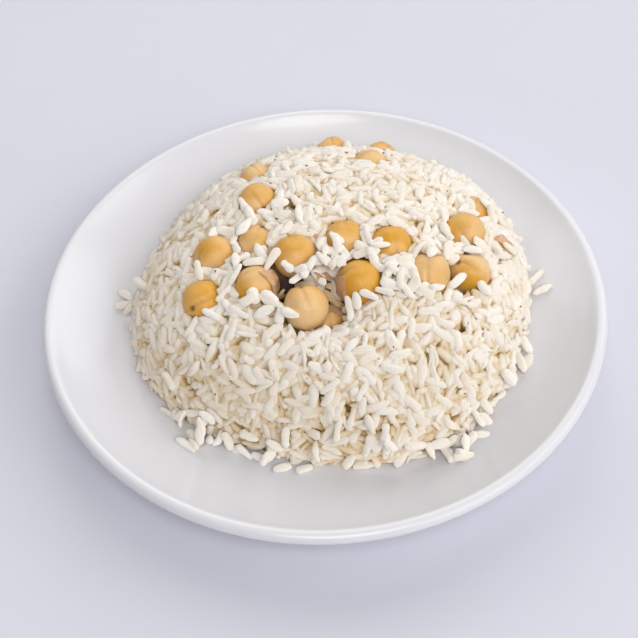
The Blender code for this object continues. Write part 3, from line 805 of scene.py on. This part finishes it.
rng = np.random.default_rng(29)
angle, out = spiral_places(HEAPED_GRAINS, 0.004, 1.0, 0.7)
angle = angle + rng.normal(0, 0.02, HEAPED_GRAINS)
centres = heap_points(angle, np.clip(out, 0, 0.99), rng.uniform(-1.5, 3.2, HEAPED_GRAINS))
_, outward = heap_depth(centres)
flatness = rng.uniform(0.45, 1.0, HEAPED_GRAINS)
axes = random_ways(rng, HEAPED_GRAINS)
axes = axes - outward * ((axes * outward).sum(axis=1) * flatness)[:, None]
axes = axes / np.linalg.norm(axes, axis=1)[:, None]
lengths = GRAIN_LENGTH * rng.uniform(0.84, 1.16, HEAPED_GRAINS)
broken = rng.random(HEAPED_GRAINS) < BROKEN_SHARE
lengths[broken] *= rng.uniform(0.45, 0.75, broken.sum())
widths = GRAIN_WIDTH * rng.uniform(0.85, 1.15, HEAPED_GRAINS)


def keep_grains(wanted):
    """Leaves only the wanted ones of the heaped grains."""
    return centres[wanted], axes[wanted], lengths[wanted], widths[wanted]


def over_chickpeas(places, share):
    """True for places that lie over the open top of a chickpea, within a share of its radius."""
    _, outs = heap_depth(pea_centres)
    covered = np.zeros(len(places), bool)
    for centre, radius, up in zip(pea_centres, pea_radii, outs):
        gap = places - centre
        height = gap @ up
        aside = np.linalg.norm(gap - height[:, None] * up, axis=1)
        covered |= (aside < radius * share) & (height > -radius)
    return covered


fixed_pearls, fixed_sizes = grain_pearls(laid_middles, laid_ways, laid_lengths, laid_widths)
fixed_pearls = fixed_pearls.reshape(-1, 3)
fixed_sizes = fixed_sizes.ravel()
nearest = np.min(((centres[:, None] - laid_middles[None]) ** 2).sum(axis=2), axis=1)
centres, axes, lengths, widths = keep_grains(~over_chickpeas(centres, 0.95) & (nearest > 2.2**2))

for step in range(SETTLE_STEPS):
    count = len(centres)
    pearls, sizes = grain_pearls(centres, axes, lengths, widths)
    reach = PEARL_PLACES * lengths[:, None]
    moving = count * PEARLS
    flat = np.vstack([pearls.reshape(-1, 3), fixed_pearls])
    sizes = np.concatenate([sizes.ravel(), fixed_sizes])
    push = np.zeros_like(flat)
    first, second = touching_pairs(flat, GRAIN_WIDTH * 1.1)
    other = first // PEARLS != second // PEARLS
    first, second = first[other], second[other]
    apart = flat[first] - flat[second]
    distance = np.maximum(np.linalg.norm(apart, axis=1), 1e-6)
    overlap = np.maximum(PACKING * (sizes[first] + sizes[second]) - distance, 0)
    shove = apart / distance[:, None] * overlap[:, None] * 0.5
    for column in range(3):
        push[:, column] += np.bincount(first, shove[:, column], len(flat))
        push[:, column] -= np.bincount(second, shove[:, column], len(flat))
    flat, sizes, push = flat[:moving], sizes[:moving], push[:moving]
    for centre, radius in zip(pea_centres, pea_radii):
        apart = flat - centre
        distance = np.linalg.norm(apart, axis=1)
        overlap = np.maximum(radius * 1.02 + sizes * 0.9 - distance, 0)
        push += apart / distance[:, None] * overlap[:, None]
    depth, outward = heap_depth(flat)
    sunk = np.maximum(depth - (BODY_DEPTH - sizes * 0.8), 0)
    push += outward * sunk[:, None]
    below = plate_height(np.hypot(flat[:, 0], flat[:, 1])) + sizes * 0.95 - flat[:, 2]
    push[:, 2] += np.maximum(below, 0)
    sink = SINK if step < SETTLE_STEPS - LAST_STEPS else LAST_SINK
    push = push.reshape(count, PEARLS, 3)
    centres = centres + 1.1 * push.mean(axis=1) - outward.reshape(count, PEARLS, 3).mean(axis=1) * sink
    turn = (push * reach[:, :, None]).sum(axis=1) / (reach**2).sum(axis=1)[:, None]
    axes = axes + 0.5 * turn
    axes = axes / np.linalg.norm(axes, axis=1)[:, None]

# Grains over chickpeas, in clear spots and here and there at random are left off
wanted = rng.random(len(centres)) > MISSING_SHARE
pearls, _ = grain_pearls(centres, axes, lengths, widths)
wanted &= ~over_chickpeas(pearls.reshape(-1, 3), 0.72).reshape(-1, PEARLS).any(axis=1)
for x, y, z, radius in CLEAR_SPOTS:
    wanted &= (np.linalg.norm(pearls - (x, y, z), axis=2) > radius).all(axis=1)
centres, axes, lengths, widths = keep_grains(wanted)

# A grain that would stand up out of the heap has fallen over
depth, outward = heap_depth(centres)
lean = (axes * outward).sum(axis=1)
fallen = (np.abs(lean) > STEEP_LEAN) & (depth - 0.5 * lengths * np.abs(lean) < -STAND_OUT)
axes[fallen] -= outward[fallen] * (FALL_SHARE * lean[fallen])[:, None]
axes = axes / np.linalg.norm(axes, axis=1)[:, None]

# A laid grain that the heap has sunk away from comes down to what lies nearest
heaped_pearls, heaped_sizes = grain_pearls(centres, axes, lengths, widths)
heaped_pearls = heaped_pearls.reshape(-1, 3)
for step in range(LOWER_STEPS):
    own_pearls, own_sizes = grain_pearls(laid_middles, laid_ways, laid_lengths, laid_widths)
    _, outward = heap_depth(laid_middles)
    for number, (own, size) in enumerate(zip(own_pearls, own_sizes)):
        others = np.arange(len(laid_middles)) != number
        near_points = np.vstack([heaped_pearls, own_pearls[others].reshape(-1, 3)])
        near_sizes = np.concatenate([heaped_sizes.ravel(), own_sizes[others].ravel()])
        away = np.linalg.norm(own[:, None] - near_points[None], axis=2)
        gap = (away - TOUCH * (size[:, None] + near_sizes[None])).min()
        to_peas = np.linalg.norm(own[:, None] - pea_centres[None], axis=2) - pea_radii[None]
        gap = min(gap, (to_peas - TOUCH * size[:, None]).min())
        over_plate = own[:, 2] - plate_height(np.hypot(own[:, 0], own[:, 1]))
        gap = min(gap, (over_plate - TOUCH * size).min())
        if gap > LOOSE_GAP:
            laid_middles[number] -= outward[number] * (gap + PRESS)


def grain_meshes(centres, axes, lengths, widths, seed):
    """Points, faces and tones of many grains, each with its own bend, ends and cross-section."""
    rng = np.random.default_rng(seed)
    count = len(centres)
    rows = np.array([-0.94, -0.70, -0.28, 0.28, 0.70, 0.94])
    sides = 8
    across = np.cross(axes, rng.normal(size=(count, 3)))
    across /= np.linalg.norm(across, axis=1)[:, None]
    upward = np.cross(axes, across)
    fullness = np.where(rows[None] < 0, rng.uniform(2.0, 7.0, (count, 1)), rng.uniform(1.8, 5.0, (count, 1)))
    swell = (1 - np.abs(rows[None]) ** fullness) ** 0.5
    swell = swell * (1 + rng.normal(0, 0.13, (count, len(rows))))
    bend = rng.normal(0, 0.06, (count, 1)) * rows[None] ** 2 * lengths[:, None]
    turns = np.arange(sides) * math.tau / sides
    flatten = rng.uniform(0.70, 0.96, count)
    ridge = 1 + 0.06 * np.cos(2 * turns)[None, None] + rng.normal(0, 0.10, (count, 1, sides))
    ridge = ridge + rng.normal(0, 0.05, (count, len(rows), sides))
    radius = 0.5 * widths[:, None, None] * swell[:, :, None] * ridge
    along = 0.5 * lengths[:, None] * rows[None]
    spine = centres[:, None] + axes[:, None] * along[:, :, None] + upward[:, None] * bend[:, :, None]
    aside = np.cos(turns)[None, None] * radius
    above = np.sin(turns)[None, None] * radius * flatten[:, None, None]
    ring = across[:, None, None] * aside[..., None] + upward[:, None, None] * above[..., None]
    body = spine[:, :, None] + ring
    end_bend = bend[:, :1] / rows[0] ** 2
    tips = []
    for end in (-0.5, 0.5):
        reach = end * lengths * rng.uniform(0.90, 1.04, count)
        tips.append(centres + axes * reach[:, None] + upward * end_bend)
    points = np.concatenate([tips[0][:, None], body.reshape(count, -1, 3), tips[1][:, None]], axis=1)
    each = points.shape[1]
    pattern = []
    for side in range(sides):
        after = (side + 1) % sides
        pattern.append((0, 1 + after, 1 + side, 1 + side))
        for row in range(len(rows) - 1):
            near = 1 + row * sides
            far = near + sides
            pattern.append((near + side, near + after, far + after, far + side))
        last = each - 1 - sides
        pattern.append((each - 1, last + side, last + after, last + after))
    faces = (np.array(pattern)[None] + (np.arange(count) * each)[:, None, None]).reshape(-1, 4)
    return points.reshape(-1, 3), faces, np.repeat(rng.random(count), each)


def make_grains(name, centres, axes, lengths, widths, seed, finish):
    """One piece with all the grains given, which stands for the rice of the heap."""
    points, faces, tone = grain_meshes(centres, axes, lengths, widths, seed)
    mesh = bpy.data.meshes.new(name)
    mesh.from_pydata((points * MM).tolist(), [], [tuple(dict.fromkeys(face)) for face in faces.tolist()])
    mesh.shade_smooth()
    # The grains let light through, so each is shaded partly as the whole heap is
    depth, outward = heap_depth(points)
    own = np.array([vertex.normal for vertex in mesh.vertices])
    soft = own * (1 - GLOW) + outward * GLOW
    mesh.normals_split_custom_set_from_vertices((soft / np.linalg.norm(soft, axis=1)[:, None]).tolist())
    set_attribute(mesh, "tone", tone)
    set_attribute(mesh, "deep", np.clip(depth / BODY_DEPTH, 0, 1))
    # Painted shade: the rice is painted darker and warmer towards the foot and the left side, where the heap
    # is in shade
    low = np.interp(points[:, 2], (10, 42), (0.9, 0.25)) * np.interp(points[:, 0], (-45, 45), (1.15, 0.25))
    shaded_side = np.clip(low + 0.15 * ripple(points, 26.0, 8), 0, 1) * np.clip((depth + 2) / 2, 0, 1)
    set_attribute(mesh, "shaded_side", shaded_side)
    mesh.materials.append(finish)
    piece = bpy.data.objects.new(name, mesh)
    bpy.context.scene.collection.objects.link(piece)
    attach(piece, "root")
    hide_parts("rice_heap")


def split_some(centres, axes, lengths, widths, share, seed):
    """Some cooked grains have burst lengthwise: each becomes two thin halves that part at one end."""
    rng = np.random.default_rng(seed)
    burst = rng.random(len(centres)) < share
    aside = np.cross(axes[burst], random_ways(rng, burst.sum()))
    aside /= np.linalg.norm(aside, axis=1)[:, None]
    halves = []
    for side in (-1, 1):
        way = axes[burst] + aside * side * rng.uniform(0.08, 0.20, (burst.sum(), 1))
        way /= np.linalg.norm(way, axis=1)[:, None]
        middle = centres[burst] + aside * side * 0.20 * widths[burst][:, None]
        shorter = lengths[burst] * rng.uniform(0.85, 1.0, burst.sum())
        halves.append((middle, way, shorter, widths[burst] * 0.62))
    whole = (centres[~burst], axes[~burst], lengths[~burst], widths[~burst])
    return [np.concatenate(columns) for columns in zip(whole, *halves)]


CREAM = (0.89, 0.83, 0.745, 1.0)
PEARL_WHITE = (0.92, 0.895, 0.86, 1.0)
# Painted shade: tan for grains that lie deep in the heap
BURIED_GRAIN_SHADE = (0.68, 0.50, 0.25, 1.0)
CLOUDY = (0.82, 0.74, 0.63, 1.0)
# Painted shade on the heap's foot and left side
SHADED_SIDE_RICE = (0.64, 0.53, 0.38, 1.0)

cooked_rice, nodes, links, shader = new_finish("cooked_rice")
# The grains' own colour, to which painted shade is added below
starch = blend_colours(nodes, links, read_attribute(nodes, "tone"), CREAM, PEARL_WHITE)
cloud = remap(nodes, links, add_mottle(nodes, 300.0, 0.5, 0.2), 0.0, 1.0, 0.0, 0.6)
starch = blend_colours(nodes, links, cloud, starch, CLOUDY)
# Painted shade: darker and warmer towards the foot and the left
shaded_side = remap(nodes, links, read_attribute(nodes, "shaded_side"), 0.0, 1.0, 0.0, 0.42)
starch = blend_colours(nodes, links, shaded_side, starch, SHADED_SIDE_RICE)
# Painted shade: grains are painted tan the deeper they lie, and dark brown where deepest
buried_shade = remap(nodes, links, read_attribute(nodes, "deep"), 0.24, 0.62, 0.0, 1.0)
starch = blend_colours(nodes, links, buried_shade, starch, BURIED_GRAIN_SHADE)
lowest = remap(nodes, links, read_attribute(nodes, "deep"), 0.52, 0.88, 0.0, 1.0)
starch = blend_colours(nodes, links, lowest, starch, DEEP_GAP_SHADE)
links.new(starch, shader.inputs["Base Color"])
sheen = remap(nodes, links, add_mottle(nodes, 500.0, 0.5, 0.2), 0, 1, 0.28, 0.5)
links.new(sheen, shader.inputs["Roughness"])
shader.inputs["IOR"].default_value = 1.38
shader.inputs["Diffuse Roughness"].default_value = 0.8
add_bump(nodes, links, shader, add_mottle(nodes, 430.0, 0.5, 0.25), 0.0005, 0.6)

depth, _ = heap_depth(centres)
upper = depth < np.median(depth)
for name, chosen, seed in (("upper_grains", upper, 3), ("lower_grains", ~upper, 4)):
    grains = (centres[chosen], axes[chosen], lengths[chosen], widths[chosen])
    make_grains(name, *split_some(*grains, SPLIT_SHARE, seed + 10), seed, cooked_rice)
make_grains("laid_grains", laid_middles, laid_ways, laid_lengths, laid_widths, 5, cooked_rice)

# Specks of bran
# Tiny dark flakes of bran and husk that stayed in the milled rice. They lie on the outer grains.
SPECKS = 110
DARK_HUSK = (0.10, 0.065, 0.035, 1.0)
LIGHT_HUSK = (0.24, 0.16, 0.08, 1.0)

bran, nodes, links, shader = new_finish("bran")
flecks = add_mottle(nodes, 900.0, 0.5, 0.2)
husk = blend_colours(nodes, links, flecks, DARK_HUSK, LIGHT_HUSK)
links.new(husk, shader.inputs["Base Color"])
shader.inputs["Roughness"].default_value = 0.6
add_bump(nodes, links, shader, add_mottle(nodes, 1800.0, 0.5, 0.25), 0.0001, 0.5)

rng = np.random.default_rng(41)
shallow = np.flatnonzero(depth < np.quantile(depth, 0.45))
chosen = rng.choice(shallow, SPECKS, replace=False)
_, outward = heap_depth(centres[chosen])
shift = rng.uniform(-0.3, 0.3, SPECKS) * lengths[chosen]
speck_places = centres[chosen] + axes[chosen] * shift[:, None] + outward * (0.40 * widths[chosen])[:, None]
speck_sizes = rng.uniform(0.5, 1.1, SPECKS)
make_grains("bran_specks", speck_places, axes[chosen], speck_sizes, speck_sizes * 0.6, 6, bran)

# Loose skins
# Chickpea skins slip off in cooking. These thin, moist, folded shells lie between the chickpeas,
# stuck to them and to the rice by their own wetness.
SKIN_THICKNESS = 0.35
SKIN_STEPS = 26
ROSY_FILM = (0.73, 0.46, 0.27, 1.0)
BROWN_FILM = (0.60, 0.34, 0.18, 1.0)
SKINS = (
    (9, -21.3, -12.7, 41.1, 7.25, -8, 18, 34, 62),
    (14, 11.5, -15.1, 43.0, 7.65, 200, -8, 40, 50),
    (11, -1.5, -14.0, 38.5, 6.4, 60, 62, 58, 40),
    (15, 34.0, -11.0, 40.8, 7.2, 78, 48, 40, 30),
    (12, 0.5, 3.5, 41.5, 7.0, 262, 50, 60, 26),
    (18, 58.6, 7.9, 27.6, 6.6, 20, 55, 46, 50),
    (20, 1.0, -21.8, 31.0, 6.45, 40, 50, 60, 48),
)

loose_skin, nodes, links, shader = new_finish("loose_skin")
blotches = add_mottle(nodes, 240.0, 0.5, 0.2)
film = blend_colours(nodes, links, blotches, ROSY_FILM, BROWN_FILM)
links.new(film, shader.inputs["Base Color"])
sheen = remap(nodes, links, add_mottle(nodes, 500.0, 0.5, 0.2), 0, 1, 0.25, 0.45)
links.new(sheen, shader.inputs["Roughness"])
add_bump(nodes, links, shader, add_mottle(nodes, 420.0, 0.5, 0.25), 0.0003, 0.6)

across, upward = np.meshgrid(np.linspace(-1, 1, SKIN_STEPS), np.linspace(-1, 1, SKIN_STEPS))
disc_x = across * np.sqrt(1 - upward**2 / 2)
disc_y = upward * np.sqrt(1 - across**2 / 2)
for number, (owner, x, y, z, radius, heading, rise, wide, high) in enumerate(SKINS, start=1):
    rng = np.random.default_rng(60 + number)
    edge = np.hypot(disc_x, disc_y)
    around = np.arctan2(disc_y, disc_x)
    ragged = 1 + 0.10 * np.sin(3 * around + rng.uniform(0, 6)) + 0.05 * np.sin(7 * around + rng.uniform(0, 6))
    turn = math.radians(heading) + np.radians(wide) * disc_x * ragged
    tip = math.radians(rise) + np.radians(high) * disc_y * ragged
    ways = np.stack([np.cos(turn) * np.cos(tip), np.sin(turn) * np.cos(tip), np.sin(tip)], axis=-1)
    ways = ways.reshape(-1, 3)
    fold = 0.35 * edge.ravel() ** 3 + 0.22 * ripple(ways * radius, 3.4, number)
    outer = (x, y, z) + ways * (radius + fold)[:, None]
    taper = np.clip((1 - edge.ravel()) / 0.15, 0.15, 1)
    inner = outer - ways * (SKIN_THICKNESS * taper)[:, None]
    faces = []
    for row in range(SKIN_STEPS - 1):
        for column in range(SKIN_STEPS - 1):
            a = row * SKIN_STEPS + column
            quad = (a, a + 1, a + 1 + SKIN_STEPS, a + SKIN_STEPS)
            faces.append(quad)
            faces.append(tuple(corner + SKIN_STEPS**2 for corner in reversed(quad)))
    last = SKIN_STEPS - 1
    border = ([(0, k) for k in range(last)] + [(k, last) for k in range(last)]
              + [(last, last - k) for k in range(last)] + [(last - k, 0) for k in range(last)])
    border = [row * SKIN_STEPS + column for row, column in border]
    for here, after in zip(border, border[1:] + border[:1]):
        faces.append((after, here, here + SKIN_STEPS**2, after + SKIN_STEPS**2))
    mesh = bpy.data.meshes.new(f"skin_{number}")
    mesh.from_pydata((np.vstack([outer, inner]) * MM).tolist(), [], faces)
    mesh.shade_smooth()
    mesh.materials.append(loose_skin)
    skin_piece = bpy.data.objects.new(mesh.name, mesh)
    bpy.context.scene.collection.objects.link(skin_piece)
    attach(skin_piece, "root")
    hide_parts(f"chickpea_{owner:02d}")
